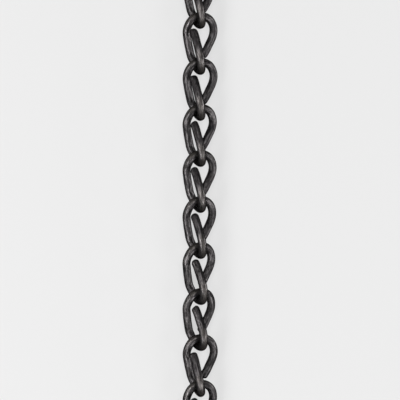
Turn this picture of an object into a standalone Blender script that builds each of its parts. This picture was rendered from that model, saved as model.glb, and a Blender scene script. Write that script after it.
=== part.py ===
"""One foot of open-link lamp chain, lying straight along X on a level floor.

Every link is one piece of steel wire, bent into two loops that stand across each other. The
lower loop of a link holds the upper loop of the next one. A link looks the same after half a
turn about the line from the chain's middle line to the middle of its shank, so half of its
wire is drawn, and the other half is that half turned over.
"""

import math

import bpy
import numpy as np
from mathutils import Matrix

MM = 0.001

# Driving dimensions of the chain
LINK_COUNT = 12
PITCH = 25.4 * MM
WIRE_DIAMETER = 4.5 * MM
RUNNING_GAP = 0.35 * MM
END_ROUNDING = 1.7 * MM

# Half of the wire, from its cut end up the free limb, over the crown and down to the middle of
# the shank: distance from the chain's middle line in mm, angle about that line from the shank
# in degrees, and height above the link's middle in mm. The crown's own height follows from the
# pitch, the wire and the gap.
FREE_LIMB = (
    (6.0, -72.0, -7.2),
    (6.7, -90.0, -3.9),
    (7.8, -101.0, -0.3),
    (9.0, -109.0, 3.3),
    (9.45, -114.0, 6.6),
    (8.7, -118.0, 9.9),
    (5.4, -122.5, 13.9),
)
SHANK_LIMB = (
    (4.0, 41.0, 13.8),
    (6.7, 30.5, 9.9),
    (7.6, 21.0, 6.6),
    (7.5, 11.0, 3.3),
)
SHANK_DISTANCE = 7.45 * MM
CROWN_HEIGHT = (PITCH + WIRE_DIAMETER + RUNNING_GAP) / 2

# Turn of each link about the chain's middle line, in degrees. The first is common to all, and
# lays the chain on the sides of its loops. The others are each link's own, because a chain
# that is laid down never lies quite true.
LAID_TURN = 142.1
LINK_TURNS = (5.0, 3.4, 2.0, 1.5, 5.6, 6.4, 8.4, 12.7, 13.0, 0.4, 4.2, 7.0)

# How finely the wire is followed and faceted
SPLINE_SAMPLES = 1500
WIRE_SEGMENTS = 44
BEND_WEIGHT = 6.0 * MM
END_STEPS = 3
BEVEL_RESOLUTION = 4

FINISH_COLOUR = (0.030, 0.027, 0.025, 1.0)
FINISH_ROUGHNESS = 0.38
FINISH_METALLIC = 0.75


def clear_scene():
    for obj in list(bpy.data.objects):
        bpy.data.objects.remove(obj, do_unlink=True)


def finish_material():
    """Dark bronze finish over steel wire."""
    material = bpy.data.materials.new("dark_bronze_finish")
    material.use_nodes = True
    shader = material.node_tree.nodes["Principled BSDF"]
    shader.inputs["Base Color"].default_value = FINISH_COLOUR
    shader.inputs["Roughness"].default_value = FINISH_ROUGHNESS
    shader.inputs["Metallic"].default_value = FINISH_METALLIC
    material.diffuse_color = FINISH_COLOUR
    return material


def from_polar(rows):
    """Points from rows of distance in mm, angle in degrees and height in mm."""
    distance, angle, height = np.array(rows, float).T
    angle = np.radians(angle)
    return MM * np.column_stack([distance * np.cos(angle), distance * np.sin(angle), height])


def guide_points():
    """The points that the wire passes through, from one cut end to the other."""
    crown = np.array([[0.0, 0.0, CROWN_HEIGHT]])
    middle = np.array([[SHANK_DISTANCE, 0.0, 0.0]])
    half = np.vstack([from_polar(FREE_LIMB), crown, from_polar(SHANK_LIMB)])
    turned_over = half[::-1] * (1.0, -1.0, -1.0)
    return np.vstack([half, middle, turned_over])


def spline(points, count):
    """A natural cubic spline through the points, as count points and their directions."""
    spans = np.linalg.norm(np.diff(points, axis=0), axis=1)
    knots = np.concatenate([[0.0], np.cumsum(spans)])
    size = len(points)
    matrix = np.eye(size)
    right = np.zeros((size, 3))
    for i in range(1, size - 1):
        before, after = spans[i - 1], spans[i]
        matrix[i, i - 1 : i + 2] = before, 2 * (before + after), after
        rise = (points[i + 1] - points[i]) / after - (points[i] - points[i - 1]) / before
        right[i] = 6 * rise
    bend = np.linalg.solve(matrix, right)
    at = np.linspace(0.0, knots[-1], count)
    i = np.clip(np.searchsorted(knots, at, side="right") - 1, 0, size - 2)
    span = spans[i, None]
    up = (at - knots[i])[:, None] / span
    down = 1.0 - up
    place = down * points[i] + up * points[i + 1]
    place += span**2 / 6 * ((down**3 - down) * bend[i] + (up**3 - up) * bend[i + 1])
    slope = (points[i + 1] - points[i]) / span
    slope += span / 6 * ((1 - 3 * down**2) * bend[i] + (3 * up**2 - 1) * bend[i + 1])
    return place, slope / np.linalg.norm(slope, axis=1, keepdims=True)


def wire_stations():
    """Points along the wire, closer together where it bends, with the share of its radius there.

    At each cut end the radius follows a quarter circle from the small flat face to the full wire.
    """
    place, direction = spline(guide_points(), SPLINE_SAMPLES)
    length = np.linalg.norm(np.diff(place, axis=0), axis=1)
    turn = np.linalg.norm(np.diff(direction, axis=0), axis=1)
    measure = np.concatenate([[0.0], np.cumsum(length + BEND_WEIGHT * turn)])
    run = np.concatenate([[0.0], np.cumsum(length)])
    quarter = np.linspace(0.0, math.pi / 2, END_STEPS + 1)
    nose = END_ROUNDING * (1 - np.cos(quarter))
    nose_share = 1 - END_ROUNDING / (WIRE_DIAMETER / 2) * (1 - np.sin(quarter))
    first, last = np.interp(nose, run, measure), np.interp(run[-1] - nose[::-1], run, measure)
    inner = np.linspace(first[-1], last[0], WIRE_SEGMENTS + 1)
    at = np.concatenate([first[:-1], inner, last[1:]])
    share = np.concatenate([nose_share[:-1], np.ones(len(inner)), nose_share[-2::-1]])
    return np.column_stack([np.interp(at, measure, column) for column in place.T]), share


def wire_curve(material):
    """The bent wire as a round bar along its stations, with its cut ends rounded."""
    stations, shares = wire_stations()
    curve = bpy.data.curves.new("link_wire", "CURVE")
    curve.dimensions = "3D"
    curve.bevel_depth = WIRE_DIAMETER / 2
    curve.bevel_resolution = BEVEL_RESOLUTION
    curve.use_fill_caps = True
    route = curve.splines.new("POLY")
    route.points.add(len(stations) - 1)
    for point, station, share in zip(route.points, stations, shares):
        point.co = (*station, 1.0)
        point.radius = share
    route.use_smooth = True
    curve.materials.append(material)
    return curve


def link_frame(index, axis_height):
    """Where a link is: its own Z runs towards the link before it, which is towards -X."""
    along_chain = Matrix(((0, 0, -1), (1, 0, 0), (0, -1, 0))).to_4x4()
    turn = Matrix.Rotation(math.radians(LAID_TURN + LINK_TURNS[index]), 4, "Z")
    middle = (LINK_COUNT - 1) / 2
    place = Matrix.Translation(((index - middle) * PITCH, 0.0, axis_height))
    return place @ along_chain @ turn


def lowest_point(curve):
    """How far the chain reaches below its middle line when it is laid down."""
    probe = bpy.data.objects.new("probe", curve)
    bpy.context.scene.collection.objects.link(probe)
    mesh = probe.to_mesh()
    points = [vertex.co.copy() for vertex in mesh.vertices]
    probe.to_mesh_clear()
    bpy.data.objects.remove(probe, do_unlink=True)
    frames = [link_frame(index, 0.0) for index in range(LINK_COUNT)]
    return min((frame @ point).z for frame in frames for point in points)


def add_pivot(index, axis_height):
    """An upright empty that a link swings about, in the lower crown of the link before it."""
    pivot = bpy.data.objects.new(f"pivot_{index + 1:02d}", None)
    pivot.empty_display_size = WIRE_DIAMETER
    bpy.context.scene.collection.objects.link(pivot)
    before = (index - 1 - (LINK_COUNT - 1) / 2) * PITCH
    return pivot, Matrix.Translation((before + CROWN_HEIGHT, 0.0, axis_height))


def place_under(child, world, parent, parent_world):
    child.parent = parent
    child.matrix_basis = parent_world.inverted() @ world


def build_chain():
    curve = wire_curve(finish_material())
    axis_height = -lowest_point(curve)
    before, before_world = None, None
    for index in range(LINK_COUNT):
        link = bpy.data.objects.new(f"link_{index + 1:02d}", curve)
        bpy.context.scene.collection.objects.link(link)
        world = link_frame(index, axis_height)
        if before is None:
            link.matrix_basis = world
        else:
            pivot, pivot_world = add_pivot(index, axis_height)
            place_under(pivot, pivot_world, before, before_world)
            place_under(link, world, pivot, pivot_world)
        before, before_world = link, world


clear_scene()
build_chain()
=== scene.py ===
"""One foot of open-link lamp chain in a dark bronze finish, laid straight on a pale floor.

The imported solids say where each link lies. Every link is drawn again here as one piece of bent
wire: a surface of two parameters, the way along the wire and the way round it, with its cut ends,
its small unevenness, its marks from drawing and bending, and its finish.
"""

import math

import bpy
import numpy as np
from mathutils import Matrix, Vector


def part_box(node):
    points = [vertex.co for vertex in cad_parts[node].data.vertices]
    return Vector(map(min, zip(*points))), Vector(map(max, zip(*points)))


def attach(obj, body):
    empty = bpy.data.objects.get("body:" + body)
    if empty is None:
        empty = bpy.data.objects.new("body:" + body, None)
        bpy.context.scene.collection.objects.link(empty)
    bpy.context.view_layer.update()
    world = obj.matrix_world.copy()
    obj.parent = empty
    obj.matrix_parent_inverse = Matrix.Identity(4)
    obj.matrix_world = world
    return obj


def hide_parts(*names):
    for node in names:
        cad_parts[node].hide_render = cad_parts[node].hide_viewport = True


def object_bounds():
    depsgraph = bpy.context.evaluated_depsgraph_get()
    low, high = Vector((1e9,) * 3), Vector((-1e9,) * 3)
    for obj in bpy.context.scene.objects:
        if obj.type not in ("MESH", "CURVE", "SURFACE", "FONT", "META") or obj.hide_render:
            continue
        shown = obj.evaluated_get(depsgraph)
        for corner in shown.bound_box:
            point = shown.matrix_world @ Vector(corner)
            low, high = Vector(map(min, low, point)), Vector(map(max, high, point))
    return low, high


bl_info = {
    "name": "Lamp Chain",
    "version": (1, 0, 0),
    "blender": (4, 5, 0),
    "location": "3D View > Sidebar > Lamp Chain",
    "description": "Bends and finishes the links of a lamp chain, and lays it on a pale floor",
    "category": "Add Mesh",
}

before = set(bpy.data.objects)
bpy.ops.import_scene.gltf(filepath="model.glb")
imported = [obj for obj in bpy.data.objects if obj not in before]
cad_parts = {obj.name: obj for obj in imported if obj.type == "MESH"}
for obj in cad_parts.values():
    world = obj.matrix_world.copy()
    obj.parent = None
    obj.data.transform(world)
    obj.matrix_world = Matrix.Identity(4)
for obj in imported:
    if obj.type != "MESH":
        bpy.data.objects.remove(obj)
CAD_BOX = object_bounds()
LINK_NODES = sorted(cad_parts)
FINISH_SLOT = "dark_bronze_finish"

MM = 0.001
WHOLE_TURN = 2 * math.pi
LEAST_LENGTH = 1e-12

# Half of a link's wire, from its cut end up the free limb, over the crown and down to the middle
# of the shank: distance from the chain's middle line in mm, angle about that line from the shank
# in degrees, and height above the link's middle in mm. The other half is the same, turned over.
FREE_LIMB = (
    (6.0, -72.0, -7.2),
    (6.7, -90.0, -3.9),
    (7.8, -101.0, -0.3),
    (9.0, -109.0, 3.3),
    (9.45, -114.0, 6.6),
    (8.7, -118.0, 9.9),
    (5.4, -122.5, 13.9),
)
SHANK_LIMB = (
    (4.0, 41.0, 13.8),
    (6.7, 30.5, 9.9),
    (7.6, 21.0, 6.6),
    (7.5, 11.0, 3.3),
)
SHANK_DISTANCE = 7.45 * MM

# Turn of every link about the chain's middle line, in degrees: the one that lays the chain on the
# sides of its loops, and each link's own on top of it.
LAID_TURN = 142.1
LINK_TURNS = (5.0, 3.4, 2.0, 1.5, 5.6, 6.4, 8.4, 12.7, 13.0, 0.4, 4.2, 7.0)

# A link's own axes in the chain: its height runs towards -X, and its shank side is up or down.
ALONG_CHAIN = np.array([[0, 0, -1], [1, 0, 0], [0, -1, 0]], float)

# How finely the wire's middle line is followed, how many rings of points each end has on its
# face and on its rim, and which of the line's samples measure the gap to the next link
SPLINE_POINTS = 4000
LINE_SAMPLES = 2000
FACE_RINGS = 6
RIM_RINGS = 10
GAP_SAMPLING = 10

# Waves in the wire's surface: how many, the most lobes round the wire, and their lengths in mm
WAVE_COUNT = 14
MOST_LOBES = 3
WAVE_LENGTHS = (2.5, 11.0)

# Cut ends: the least share of the full tilt that one gets, and how sharp its step is
LEAST_TILT = 0.4
STEP_WIDTH = 0.25 * MM

# Where the finish rubs off: from full to none by the gap to the next link, and from none to full
# by how tightly the wire bends under it
SEAT_GAPS = (0.25 * MM, 0.75 * MM)
BULGE_BENDS = (0.10, 0.40)

# Names of the mesh attributes that the finish reads
DRAWN_WIRE = "drawn_wire"
SEAT_RUB = "seat_rub"
BULGE_RUB = "bulge_rub"

# Noises on the straight wire: squeeze along it, scale, detail and roughness
FINE_STREAKS = (0.13, 1500.0, 3.0, 0.5)
BROAD_STREAKS = (0.25, 560.0, 2.0, 0.5)
BLOTCHES = (0.6, 260.0, 3.0, 0.6)
PITS = (0.45, 1250.0, 3.0, 0.6)
GRAIN = (0.7, 4200.0, 2.0, 0.5)

# Values of those noises between which each mark grows from nothing to its full strength
STREAK_RANGE = (0.40, 0.62)
BLOTCH_RANGE = (0.36, 0.66)
PIT_RANGE = (0.50, 0.66)
PATCH_RANGE = (0.35, 0.6)

# How far the marks show: shares of the worn, pitted and rubbed tones, the least share of a rub
# between its patches, and how much duller a groove and glossier a ridge is than the finish
WORN_SHARE = 0.85
PIT_SHARE = 0.65
BULGE_SHARE = 0.35
LEAST_PATCH = 0.35
GROOVE_DULLNESS = 0.10
RIDGE_GLOSS = 0.06

# Relief of the marks: its height and strength, and the grain's share in it
RELIEF_HEIGHT = 0.07 * MM
RELIEF_STRENGTH = 0.6
GRAIN_RELIEF = 0.5


class WireSettings(bpy.types.PropertyGroup):
    """Sizes of the wire that the links are bent from."""

    diameter: bpy.props.FloatProperty(
        name="Diameter",
        description="Thickness of the wire with its finish",
        default=4.5 * MM,
        unit="LENGTH",
    )
    running_gap: bpy.props.FloatProperty(
        name="Running gap",
        description="Space between the crowns of two links that hold each other",
        default=0.35 * MM,
        unit="LENGTH",
    )
    end_rounding: bpy.props.FloatProperty(
        name="End rounding",
        description="Radius of the rounded rim of each cut end",
        default=1.7 * MM,
        unit="LENGTH",
    )
    end_tilt: bpy.props.FloatProperty(
        name="End tilt",
        description="Most that the shears left a cut end out of square",
        default=math.radians(9.0),
        subtype="ANGLE",
    )
    shear_step: bpy.props.FloatProperty(
        name="Shear step",
        description="Height of the step where the shears broke through the wire",
        default=0.09 * MM,
        unit="LENGTH",
    )
    flattening: bpy.props.FloatProperty(
        name="Flattening",
        description="How much the section flattens across a bend",
        default=0.12,
        subtype="FACTOR",
    )
    unevenness: bpy.props.FloatProperty(
        name="Unevenness",
        description="Height of the slow waves that bending leaves in the wire's surface",
        default=0.03 * MM,
        unit="LENGTH",
    )
    steps_along: bpy.props.IntProperty(
        name="Steps along",
        description="Rings of points along one link's wire",
        default=420,
    )
    steps_round: bpy.props.IntProperty(
        name="Steps round",
        description="Points in one ring",
        default=36,
    )


class FinishSettings(bpy.types.PropertyGroup):
    """Colours and gloss of the finish."""

    dark_colour: bpy.props.FloatVectorProperty(
        name="Dark tone",
        description="The finish where it is thick",
        default=(0.0185, 0.0183, 0.0188),
        size=3,
        subtype="COLOR",
    )
    brown_colour: bpy.props.FloatVectorProperty(
        name="Brown tone",
        description="The finish where it is thin",
        default=(0.047, 0.0435, 0.0445),
        size=3,
        subtype="COLOR",
    )
    worn_colour: bpy.props.FloatVectorProperty(
        name="Worn tone",
        description="The finish on the ridges that the drawing die left",
        default=(0.120, 0.1125, 0.1145),
        size=3,
        subtype="COLOR",
    )
    pit_colour: bpy.props.FloatVectorProperty(
        name="Pit tone",
        description="The finish in its small pits",
        default=(0.004, 0.004, 0.004),
        size=3,
        subtype="COLOR",
    )
    rubbed_colour: bpy.props.FloatVectorProperty(
        name="Rubbed tone",
        description="Metal that shows where links rub on each other",
        default=(0.30, 0.27, 0.24),
        size=3,
        subtype="COLOR",
    )
    roughness: bpy.props.FloatProperty(
        name="Roughness",
        description="Roughness of the finish between its streaks",
        default=0.34,
        subtype="FACTOR",
    )
    metallic: bpy.props.FloatProperty(
        name="Metallic",
        description="How far the finish shines as metal",
        default=0.95,
        subtype="FACTOR",
    )


# Soft lights: name, angle to the right of the camera in degrees, shift along the chain, length
# along the chain and width across it in metres, and power in watts
LIGHT_DISTANCE = 1.3
SOFT_LIGHTS = (
    ("left_light", -33.0, 0.5, (2.2, 0.30), 24.0),
    ("low_left_light", -68.0, 0.0, (1.2, 0.30), 4.0),
    ("top_light", 8.0, -0.5, (1.2, 0.50), 6.0),
    ("right_light", 86.0, 0.0, (1.0, 0.20), 6.5),
    ("front_right_light", 54.0, 1.0, (1.0, 0.30), 8.0),
    ("front_light", 24.0, 1.2, (0.8, 0.30), 5.0),
)

# The floor lies this far under the chain, and is nearly matt
FLOOR_GAP = 0.05 * MM
FLOOR_ROUGHNESS = 0.9

# Camera: lens and sensor in mm, nearest and farthest sight in metres, and the place it looks at
LENS = 200.0
SENSOR_WIDTH = 36.0
SIGHT = (0.05, 50.0)
CAMERA_TARGET = (-2.45 * MM, -0.17 * MM, 8.77 * MM)


class StageSettings(bpy.types.PropertyGroup):
    """The floor, the lights and the camera."""

    floor_colour: bpy.props.FloatVectorProperty(
        name="Floor",
        description="Colour of the floor",
        default=(0.16, 0.16, 0.16),
        size=3,
        subtype="COLOR",
    )
    floor_glow: bpy.props.FloatProperty(
        name="Floor glow",
        description="Brightness that the lit table under the chain adds, as the camera sees it",
        default=0.595,
        subtype="FACTOR",
    )
    floor_size: bpy.props.FloatProperty(
        name="Floor size",
        description="Side of the square floor",
        default=8.0,
        unit="LENGTH",
    )
    sky_strength: bpy.props.FloatProperty(
        name="Sky strength",
        description="Strength of the even light from all round",
        default=0.19,
    )
    light_strength: bpy.props.FloatProperty(
        name="Light strength",
        description="Share of the full power that each soft light burns at",
        default=1.0,
        subtype="FACTOR",
    )
    frame_width: bpy.props.FloatProperty(
        name="Frame width",
        description="Width of the picture, measured at the chain",
        default=220.9 * MM,
        unit="LENGTH",
    )
    camera_elevation: bpy.props.FloatProperty(
        name="Camera elevation",
        description="Height of the camera above the horizon",
        default=math.radians(80.1),
        subtype="ANGLE",
    )


def from_polar(rows):
    """Points from rows of distance in mm, angle in degrees and height in mm."""
    distance, angle, height = np.array(rows, float).T
    angle = np.radians(angle)
    return MM * np.column_stack([distance * np.cos(angle), distance * np.sin(angle), height])


def link_centres():
    """The middle of each link along the chain: halfway between the ends of its solid."""
    ends = np.array([[corner.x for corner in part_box(node)] for node in LINK_NODES])
    return ends.mean(axis=1)


def guide_points(wire):
    """The points that the wire passes through, from one cut end to the other.

    The crown's height is half of the pitch, the wire and the gap together. The second half of the
    wire is the first in reverse, with its side and its height negated, which is the half turn
    about the line from the chain's middle line to the middle of the shank.
    """
    pitch = np.diff(link_centres()).mean()
    crown = np.array([[0.0, 0.0, (pitch + wire.diameter + wire.running_gap) / 2]])
    middle = np.array([[SHANK_DISTANCE, 0.0, 0.0]])
    half = np.vstack([from_polar(FREE_LIMB), crown, from_polar(SHANK_LIMB)])
    return np.vstack([half, middle, half[::-1] * (1.0, -1.0, -1.0)])


def spline(points, count):
    """A natural cubic spline through the points, at count places evenly along their chords.

    The bend at each point solves the usual equations for a curve that turns evenly, and between
    two points the place is their average by distance plus the bends times a cubic of it.
    """
    spans = np.linalg.norm(np.diff(points, axis=0), axis=1)
    knots = np.concatenate([[0.0], np.cumsum(spans)])
    size = len(points)
    matrix = np.eye(size)
    inner = np.arange(1, size - 1)
    matrix[inner, inner - 1] = spans[:-1]
    matrix[inner, inner] = 2 * (spans[:-1] + spans[1:])
    matrix[inner, inner + 1] = spans[1:]
    slopes = np.diff(points, axis=0) / spans[:, None]
    right = np.zeros((size, 3))
    right[inner] = 6 * np.diff(slopes, axis=0)
    bend = np.linalg.solve(matrix, right)
    at = np.linspace(0.0, knots[-1], count)
    i = np.clip(np.searchsorted(knots, at, side="right") - 1, 0, size - 2)
    span = spans[i, None]
    up = (at - knots[i])[:, None] / span
    down = 1.0 - up
    place = down * points[i] + up * points[i + 1]
    return place + span**2 / 6 * ((down**3 - down) * bend[i] + (up**3 - up) * bend[i + 1])


def unit(vectors):
    """Each row divided by its own length."""
    return vectors / np.maximum(np.linalg.norm(vectors, axis=-1, keepdims=True), LEAST_LENGTH)


def centreline(wire):
    """The wire's middle line as (run, place, direction, bend), closely and evenly sampled.

    Run is the length so far, direction is the place's rate of change along it, and bend is the
    direction's rate of change: it points to the inside of the bend, and is one over its radius.
    """
    place = spline(guide_points(wire), SPLINE_POINTS)
    run = np.concatenate([[0.0], np.cumsum(np.linalg.norm(np.diff(place, axis=0), axis=1))])
    even = np.linspace(0.0, run[-1], LINE_SAMPLES)
    place = np.column_stack([np.interp(even, run, column) for column in place.T])
    direction = unit(np.gradient(place, even, axis=0))
    return even, place, direction, np.gradient(direction, even, axis=0)


def at_run(samples, run, columns):
    """The columns, sampled at the lengths samples, read off at the lengths run."""
    return np.column_stack([np.interp(run, samples, column) for column in columns.T])


def twist_free(run, direction):
    """Two directions square to the wire at each place, which don't turn about it on the way.

    A fixed direction, here the one to the shank, is made square to the wire. The pair is then
    turned back about the wire by the running sum of the turn that it made.
    """
    fixed = np.array([1.0, 0.0, 0.0])
    side = unit(fixed - (direction @ fixed)[:, None] * direction)
    other = np.cross(direction, side)
    rate = np.einsum("ij,ij->i", np.gradient(side, run, axis=0), other)
    steps = np.diff(run) * (rate[1:] + rate[:-1]) / 2
    back = -np.concatenate([[0.0], np.cumsum(steps)])[:, None]
    return np.cos(back) * side + np.sin(back) * other, np.cos(back) * other - np.sin(back) * side


def ring_plan(wire, length):
    """Run and radius of each ring of points, from the middle of one end face to the other's.

    On an end face the run stays and the radius grows. On its rim they follow a quarter circle:
    the run by one minus its cosine, the radius by its sine. Between the rims the radius stays.
    """
    radius, rounding = wire.diameter / 2, wire.end_rounding
    face = np.linspace(0.0, 1.0, FACE_RINGS, endpoint=False) * (radius - rounding)
    quarter = np.linspace(0.0, WHOLE_TURN / 4, RIM_RINGS)
    end_run = np.concatenate([np.zeros(len(face)), rounding * (1 - np.cos(quarter))])
    end_radius = np.concatenate([face, radius - rounding * (1 - np.sin(quarter))])
    body = np.linspace(rounding, length - rounding, wire.steps_along)[1:-1]
    run = np.concatenate([end_run, body, length - end_run[::-1]])
    return run, np.concatenate([end_radius, np.full(len(body), radius), end_radius[::-1]])


def waves(rng, turn, run):
    """Slow waves in the wire's surface, about 1 high.

    They are twice the mean of cosines, each of the turn times its lobes plus the run over its
    length plus its phase.
    """
    lobes = rng.integers(0, MOST_LOBES + 1, WAVE_COUNT)
    lengths = rng.uniform(*WAVE_LENGTHS, WAVE_COUNT) * MM
    phases = rng.uniform(0.0, WHOLE_TURN, WAVE_COUNT)
    angle = turn[..., None] * lobes + WHOLE_TURN * run[..., None] / lengths + phases
    return np.cos(angle).mean(axis=-1) * 2


def end_shape(wire, rng, turn, run, radius, length):
    """How far the shears moved the points of both ends along the wire.

    Each face tilts with its distance from a line across it, and drops by a step past that line.
    The move fades out along the wire within one diameter of the end.
    """
    moved = np.zeros(turn.shape)
    for distance, sign in ((run, -1.0), (length - run, 1.0)):
        lean = rng.uniform(LEAST_TILT, 1.0) * wire.end_tilt
        heading = rng.uniform(0.0, WHOLE_TURN)
        across = radius * np.cos(turn - heading)
        near = np.clip(1 - distance / wire.diameter, 0, 1) ** 2
        step = wire.shear_step * np.tanh(across / STEP_WIDTH)
        moved += sign * near * (across * math.tan(lean) + step)
    return moved


def smooth_step(low, high, value):
    """0 below low, 1 above high, and three times the square less twice the cube between."""
    share = np.clip((value - low) / (high - low), 0, 1)
    return share * share * (3 - 2 * share)


def wire_surface(wire, middle_line, rng):
    """One link's wire as a grid of points: rings along it, and points round each ring.

    A point is the middle line's place, plus the ring's radius towards the cosine of the turn of
    one square direction and the sine of the turn of the other. The radius shrinks across a bend
    and grows beside it, and carries the slow waves. Returned with the grid: the same points on
    the straight wire before it was bent, and how far each lies on the outside of a bend.
    """
    samples, line, directions, bends = middle_line
    sides = np.hstack(twist_free(samples, directions))
    run, radius = ring_plan(wire, samples[-1])
    turn = np.linspace(0.0, WHOLE_TURN, wire.steps_round, endpoint=False)
    run, turn = np.meshgrid(run, turn, indexing="ij")
    radius = np.repeat(radius[:, None], wire.steps_round, axis=1)

    direction = unit(at_run(samples, run[:, 0], directions))[:, None, :]
    bend = at_run(samples, run[:, 0], bends)[:, None, :]
    sides = at_run(samples, run[:, 0], sides)
    side, other = sides[:, None, :3], sides[:, None, 3:]
    outward = np.cos(turn)[..., None] * side + np.sin(turn)[..., None] * other

    tightness = np.linalg.norm(bend, axis=-1) * wire.diameter / 2
    inside = np.einsum("ijk,ijk->ij", outward, unit(bend) + 0 * outward)
    share = radius / radius.max()
    radius = radius * (1 + wire.flattening * tightness * (0.5 - inside**2))
    radius = radius + share * wire.unevenness * waves(rng, turn, run)
    moved = end_shape(wire, rng, turn, run, radius, samples[-1])
    middle = at_run(samples, run[:, 0], line)[:, None, :]
    points = middle + outward * radius[..., None] + direction * moved[..., None]
    straight = np.stack([radius * np.cos(turn), radius * np.sin(turn), run], axis=-1)
    return points, straight, smooth_step(*BULGE_BENDS, -inside * tightness)


def link_matrix(index, centres, axis_height):
    """Rotation and place of a link: turned about its own height, then laid along the chain."""
    turn = math.radians(LAID_TURN + LINK_TURNS[index])
    about = np.array(Matrix.Rotation(turn, 3, "Z"))
    return ALONG_CHAIN @ about, np.array([centres[index], 0.0, axis_height])


def lowest_reach(wire, middle_line, centres):
    """How far the chain would reach below its middle line: the least height of any ring's rim.

    A round wire reaches below its middle line by its radius times the cosine of its slope.
    """
    _, line, directions, _ = middle_line
    lows = []
    for index in range(len(centres)):
        rotation, _ = link_matrix(index, centres, 0.0)
        slope = (directions @ rotation.T)[:, 2]
        below = wire.diameter / 2 * np.sqrt(1 - slope**2)
        lows.append(((line @ rotation.T)[:, 2] - below).min())
    return min(lows)


def neighbour_gap(points, index, wire, middle_line, placed):
    """Gap from each point to the wire of the links before and after, along the nearest way."""
    line = middle_line[1][::GAP_SAMPLING]
    gap = np.full(points.shape[:-1], np.inf)
    for other in (index - 1, index + 1):
        if 0 <= other < len(placed):
            rotation, place = placed[other]
            there = line @ rotation.T + place
            flat = points.reshape(-1, 3)
            squares = (flat**2).sum(1)[:, None] - 2 * flat @ there.T + (there**2).sum(1)
            nearest = np.sqrt(np.maximum(squares.min(axis=1), 0)).reshape(gap.shape)
            gap = np.minimum(gap, nearest - wire.diameter / 2)
    return gap


def closed_grid(rings, around):
    """Faces of a grid that closes round each ring and comes to one point at either end.

    The first and last ring are a point each. Every other pair of rings is joined by quads, with
    the ring's last point joined to its first, and each end point by a fan of triangles.
    """
    body = np.arange(1, (rings - 2) * around + 1).reshape(rings - 2, around)
    ahead = np.roll(body, -1, axis=1)
    quads = np.stack([body[:-1], ahead[:-1], ahead[1:], body[1:]], axis=-1).reshape(-1, 4)
    last = (rings - 2) * around + 1
    first_fan = np.stack([np.zeros(around, int), ahead[0], body[0]], axis=-1)
    last_fan = np.stack([np.full(around, last), body[-1], ahead[-1]], axis=-1)
    return quads, np.vstack([first_fan, last_fan])


def one_point_ends(grid):
    """The grid as a list of points, with its first and last ring as one point each."""
    first, last = grid[0].mean(0)[None], grid[-1].mean(0)[None]
    return np.vstack([first, grid[1:-1].reshape(-1, grid.shape[-1]), last])


def grid_mesh(name, points, marks):
    """A smooth closed mesh from a grid of points, with its marks as point attributes."""
    quads, fans = closed_grid(points.shape[0], points.shape[1])
    mesh = bpy.data.meshes.new(name)
    places = one_point_ends(points)
    corners = np.concatenate([quads.ravel(), fans.ravel()])
    starts = np.concatenate([np.arange(len(quads)) * 4, quads.size + np.arange(len(fans)) * 3])
    mesh.vertices.add(len(places))
    mesh.vertices.foreach_set("co", places.astype(np.float32).ravel())
    mesh.loops.add(len(corners))
    mesh.loops.foreach_set("vertex_index", corners.astype(np.int32))
    mesh.polygons.add(len(starts))
    mesh.polygons.foreach_set("loop_start", starts.astype(np.int32))
    mesh.update(calc_edges=True)
    mesh.validate()
    mesh.shade_smooth()
    for key, grid in marks.items():
        values = one_point_ends(grid if grid.ndim == 3 else grid[..., None])
        is_vector = values.shape[1] == 3
        kind, field = ("FLOAT_VECTOR", "vector") if is_vector else ("FLOAT", "value")
        attribute = mesh.attributes.new(key, kind, "POINT")
        attribute.data.foreach_set(field, values.astype(np.float32).ravel())
    return mesh


def new_group(name, inputs, outputs):
    """An empty shader node group with its sockets, as (group, its input node, its output node)."""
    group = bpy.data.node_groups.new(name, "ShaderNodeTree")
    for label, kind, default in inputs:
        socket = group.interface.new_socket(label, in_out="INPUT", socket_type=kind)
        if default is not None:
            socket.default_value = default
    for label, kind in outputs:
        group.interface.new_socket(label, in_out="OUTPUT", socket_type=kind)
    return group, group.nodes.new("NodeGroupInput"), group.nodes.new("NodeGroupOutput")


def wire_noise(tree, vector, squeeze, scale, detail, roughness):
    """Noise on the straight wire, drawn out along it. Returns the socket of its value."""
    mapping = tree.nodes.new("ShaderNodeMapping")
    mapping.inputs["Scale"].default_value = (1.0, 1.0, squeeze)
    noise = tree.nodes.new("ShaderNodeTexNoise")
    noise.inputs["Scale"].default_value = scale
    noise.inputs["Detail"].default_value = detail
    noise.inputs["Roughness"].default_value = roughness
    tree.links.new(vector, mapping.inputs["Vector"])
    tree.links.new(mapping.outputs["Vector"], noise.inputs["Vector"])
    return noise.outputs["Fac"]


def map_range(tree, value, low, high, to_low=0.0, to_high=1.0):
    """The value's stretch from low to high, moved to another stretch and held inside it."""
    node = tree.nodes.new("ShaderNodeMapRange")
    node.interpolation_type = "SMOOTHSTEP"
    tree.links.new(value, node.inputs["Value"])
    limits = {"From Min": low, "From Max": high, "To Min": to_low, "To Max": to_high}
    for label, limit in limits.items():
        node.inputs[label].default_value = limit
    return node.outputs["Result"]


def math_node(tree, operation, first, second):
    """One sum of two values, each a socket or a number."""
    node = tree.nodes.new("ShaderNodeMath")
    node.operation = operation
    for socket, value in zip(node.inputs, (first, second)):
        if isinstance(value, bpy.types.NodeSocket):
            tree.links.new(value, socket)
        else:
            socket.default_value = value
    return node.outputs["Value"]


def mix_colour(tree, factor, first, second):
    """Two colours mixed by a factor, each a socket or a colour."""
    node = tree.nodes.new("ShaderNodeMix")
    node.data_type = "RGBA"
    tree.links.new(factor, node.inputs[0])
    for socket, value in zip((node.inputs[6], node.inputs[7]), (first, second)):
        if isinstance(value, bpy.types.NodeSocket):
            tree.links.new(value, socket)
        else:
            socket.default_value = (*value, 1.0)
    return node.outputs[2]


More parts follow.
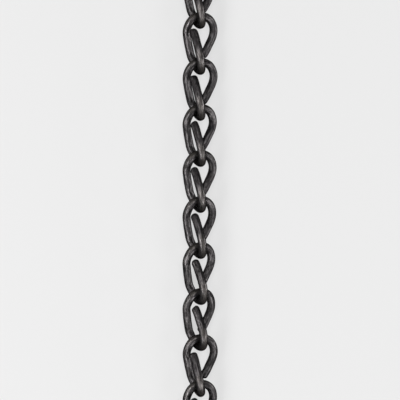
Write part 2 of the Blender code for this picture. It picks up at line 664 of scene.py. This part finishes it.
def drawing_marks_group():
    """Streaks that the drawing die left along the wire, and the blotches, pits and grain on them."""
    labels = ("Streaks", "Blotches", "Pits", "Grain")
    group, given, made = new_group(
        "drawing_marks",
        [("Wire", "NodeSocketVector", None)],
        [(label, "NodeSocketFloat") for label in labels],
    )
    wire = given.outputs["Wire"]
    fine, broad, blotches, pits, grain = (
        wire_noise(group, wire, *noise)
        for noise in (FINE_STREAKS, BROAD_STREAKS, BLOTCHES, PITS, GRAIN)
    )
    streaks = math_node(group, "MULTIPLY", math_node(group, "ADD", fine, broad), 0.5)
    group.links.new(map_range(group, streaks, *STREAK_RANGE), made.inputs["Streaks"])
    group.links.new(map_range(group, blotches, *BLOTCH_RANGE), made.inputs["Blotches"])
    group.links.new(map_range(group, pits, *PIT_RANGE), made.inputs["Pits"])
    group.links.new(grain, made.inputs["Grain"])
    return group


def attribute_socket(tree, name, output):
    """One output of a mesh attribute, for a shader to read."""
    node = tree.nodes.new("ShaderNodeAttribute")
    node.attribute_name = name
    return node.outputs[output]


def finish_material(finish):
    """Dark bronze finish over steel wire: streaked along the wire, rubbed where links touch."""
    material = bpy.data.materials.new(FINISH_SLOT)
    material.use_nodes = True
    tree = material.node_tree
    shader = tree.nodes["Principled BSDF"]
    wire = attribute_socket(tree, DRAWN_WIRE, "Vector")
    marks = tree.nodes.new("ShaderNodeGroup")
    marks.node_tree = drawing_marks_group()
    tree.links.new(wire, marks.inputs["Wire"])

    tone = mix_colour(tree, marks.outputs["Blotches"], finish.dark_colour, finish.brown_colour)
    worn = math_node(tree, "MULTIPLY", marks.outputs["Streaks"], WORN_SHARE)
    streaked = mix_colour(tree, worn, tone, finish.worn_colour)
    pitted = math_node(tree, "MULTIPLY", marks.outputs["Pits"], PIT_SHARE)
    streaked = mix_colour(tree, pitted, streaked, finish.pit_colour)

    seat = attribute_socket(tree, SEAT_RUB, "Fac")
    bulge = attribute_socket(tree, BULGE_RUB, "Fac")
    rub = math_node(tree, "MAXIMUM", seat, math_node(tree, "MULTIPLY", bulge, BULGE_SHARE))
    patches = map_range(tree, marks.outputs["Grain"], *PATCH_RANGE, LEAST_PATCH, 1.0)
    patchy = math_node(tree, "MULTIPLY", rub, patches)
    colour = mix_colour(tree, patchy, streaked, finish.rubbed_colour)
    tree.links.new(colour, shader.inputs["Base Color"])

    groove = finish.roughness + GROOVE_DULLNESS
    ridge = finish.roughness - RIDGE_GLOSS
    roughness = map_range(tree, marks.outputs["Streaks"], 0.0, 1.0, groove, ridge)
    tree.links.new(roughness, shader.inputs["Roughness"])
    shader.inputs["Metallic"].default_value = finish.metallic
    shader.inputs["Specular Tint"].default_value = (0.0, 0.0, 0.0, 1.0)

    grain = math_node(tree, "MULTIPLY", marks.outputs["Grain"], GRAIN_RELIEF)
    relief = math_node(tree, "ADD", marks.outputs["Streaks"], grain)
    relief = math_node(tree, "SUBTRACT", relief, marks.outputs["Pits"])
    bump = tree.nodes.new("ShaderNodeBump")
    bump.inputs["Strength"].default_value = RELIEF_STRENGTH
    bump.inputs["Distance"].default_value = RELIEF_HEIGHT
    tree.links.new(relief, bump.inputs["Height"])
    tree.links.new(bump.outputs["Normal"], shader.inputs["Normal"])
    return material


class BendLinks(bpy.types.Operator):
    """Bend every link of the chain from its wire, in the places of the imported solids"""

    bl_idname = "lamp_chain.bend_links"
    bl_label = "Bend the Links"

    def execute(self, context):
        wire, finish = context.scene.chain_wire, context.scene.chain_finish
        material = finish_material(finish)
        centres, middle_line = link_centres(), centreline(wire)
        axis_height = -lowest_reach(wire, middle_line, centres)
        placed = [link_matrix(index, centres, axis_height) for index in range(len(centres))]
        for index, (rotation, place) in enumerate(placed):
            rng = np.random.default_rng(index + 1)
            points, straight, bulge = wire_surface(wire, middle_line, rng)
            points = points @ rotation.T + place
            straight[..., 2] += index * straight[..., 2].max()
            gap = neighbour_gap(points, index, wire, middle_line, placed)
            marks = {
                DRAWN_WIRE: straight,
                SEAT_RUB: 1 - smooth_step(*SEAT_GAPS, gap),
                BULGE_RUB: bulge,
            }
            node = LINK_NODES[index]
            name = f"{node}_wire"
            link = bpy.data.objects.new(name, grid_mesh(name, points, marks))
            context.scene.collection.objects.link(link)
            link.data.materials.append(material)
            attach(link, node)
            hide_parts(node)
        return {"FINISHED"}


def floor_material(stage):
    """A pale lit table: its glow shows in the picture, but throws no light on the chain."""
    material = bpy.data.materials.new("pale_floor")
    material.use_nodes = True
    tree = material.node_tree
    shader = tree.nodes["Principled BSDF"]
    shader.inputs["Base Color"].default_value = (*stage.floor_colour, 1.0)
    shader.inputs["Roughness"].default_value = FLOOR_ROUGHNESS
    shader.inputs["Emission Color"].default_value = (1.0, 1.0, 1.0, 1.0)
    path = tree.nodes.new("ShaderNodeLightPath")
    glow = math_node(tree, "MULTIPLY", path.outputs["Is Camera Ray"], stage.floor_glow)
    tree.links.new(glow, shader.inputs["Emission Strength"])
    return material


def floor_piece(stage):
    """A square floor just under the chain."""
    half = stage.floor_size / 2
    mesh = bpy.data.meshes.new("floor")
    corners = [(-half, -half), (half, -half), (half, half), (-half, half)]
    level = CAD_BOX[0].z - FLOOR_GAP
    mesh.from_pydata([(x, y, level) for x, y in corners], [], [(0, 1, 2, 3)])
    mesh.materials.append(floor_material(stage))
    floor = bpy.data.objects.new("floor", mesh)
    return floor


def soft_light(name, angle, along, size, power, stage):
    """A soft rectangular light at an angle to the side of the camera, facing the chain."""
    angle = math.radians(angle) - math.pi / 2 + stage.camera_elevation
    place = Vector((along, LIGHT_DISTANCE * math.sin(angle), LIGHT_DISTANCE * math.cos(angle)))
    data = bpy.data.lights.new(name, "AREA")
    data.shape = "RECTANGLE"
    data.size, data.size_y = size
    data.energy = power * stage.light_strength
    light = bpy.data.objects.new(name, data)
    light.location = place
    facing = place.normalized()
    along_chain = Vector((1.0, 0.0, 0.0)) - facing * facing.x
    across = facing.cross(along_chain).normalized()
    rows = (along_chain.normalized(), across, facing)
    light.rotation_euler = Matrix([list(row) for row in rows]).transposed().to_euler()
    light.visible_camera = False
    return light


def studio_camera(stage):
    """A long-lens camera over the chain, with the chain's first link at the top of its picture."""
    data = bpy.data.cameras.new("camera")
    data.lens, data.sensor_width = LENS, SENSOR_WIDTH
    data.clip_start, data.clip_end = SIGHT
    elevation = stage.camera_elevation
    look = Vector((0.0, math.cos(elevation), -math.sin(elevation)))
    up = Vector((-1.0, 0.0, 0.0))
    right = look.cross(up)
    place = Vector(CAMERA_TARGET) - look * (stage.frame_width * LENS / SENSOR_WIDTH)
    camera = bpy.data.objects.new("camera", data)
    camera.matrix_world = Matrix(((*right,), (*up,), (*-look,))).transposed().to_4x4()
    camera.location = place
    return camera


class LayStage(bpy.types.Operator):
    """Lay the pale floor, hang the soft lights and place the camera"""

    bl_idname = "lamp_chain.lay_stage"
    bl_label = "Lay the Stage"

    def execute(self, context):
        stage = context.scene.chain_stage
        scene = context.scene
        lights = [soft_light(*row, stage) for row in SOFT_LIGHTS]
        camera = studio_camera(stage)
        for obj in (floor_piece(stage), camera, *lights):
            scene.collection.objects.link(obj)
        scene.camera = camera
        scene.view_settings.view_transform = "Standard"
        world = bpy.data.worlds.new("sky")
        world.use_nodes = True
        background = world.node_tree.nodes["Background"]
        background.inputs["Color"].default_value = (1.0, 1.0, 1.0, 1.0)
        background.inputs["Strength"].default_value = stage.sky_strength
        scene.world = world
        return {"FINISHED"}


class ChainPanel(bpy.types.Panel):
    """The steps of the chain and their settings, in the 3D view's sidebar"""

    bl_idname = "VIEW3D_PT_lamp_chain"
    bl_label = "Lamp Chain"
    bl_space_type = "VIEW_3D"
    bl_region_type = "UI"
    bl_category = "Lamp Chain"

    def draw(self, context):
        steps = (
            (BendLinks, (context.scene.chain_wire, context.scene.chain_finish)),
            (LayStage, (context.scene.chain_stage,)),
        )
        for operator, groups in steps:
            box = self.layout.box()
            for group in groups:
                for key in group.__annotations__:
                    box.prop(group, key)
            box.operator(operator.bl_idname)


CLASSES = (WireSettings, FinishSettings, StageSettings, BendLinks, LayStage, ChainPanel)
SETTINGS = {
    "chain_wire": WireSettings,
    "chain_finish": FinishSettings,
    "chain_stage": StageSettings,
}


def register():
    for cls in CLASSES:
        bpy.utils.register_class(cls)
    for key, group in SETTINGS.items():
        setattr(bpy.types.Scene, key, bpy.props.PointerProperty(type=group))


def unregister():
    for key in SETTINGS:
        delattr(bpy.types.Scene, key)
    for cls in reversed(CLASSES):
        bpy.utils.unregister_class(cls)


def main():
    """Make the chain and its stage."""
    register()
    bpy.ops.lamp_chain.bend_links()
    bpy.ops.lamp_chain.lay_stage()


if __name__ == "__main__":
    main()
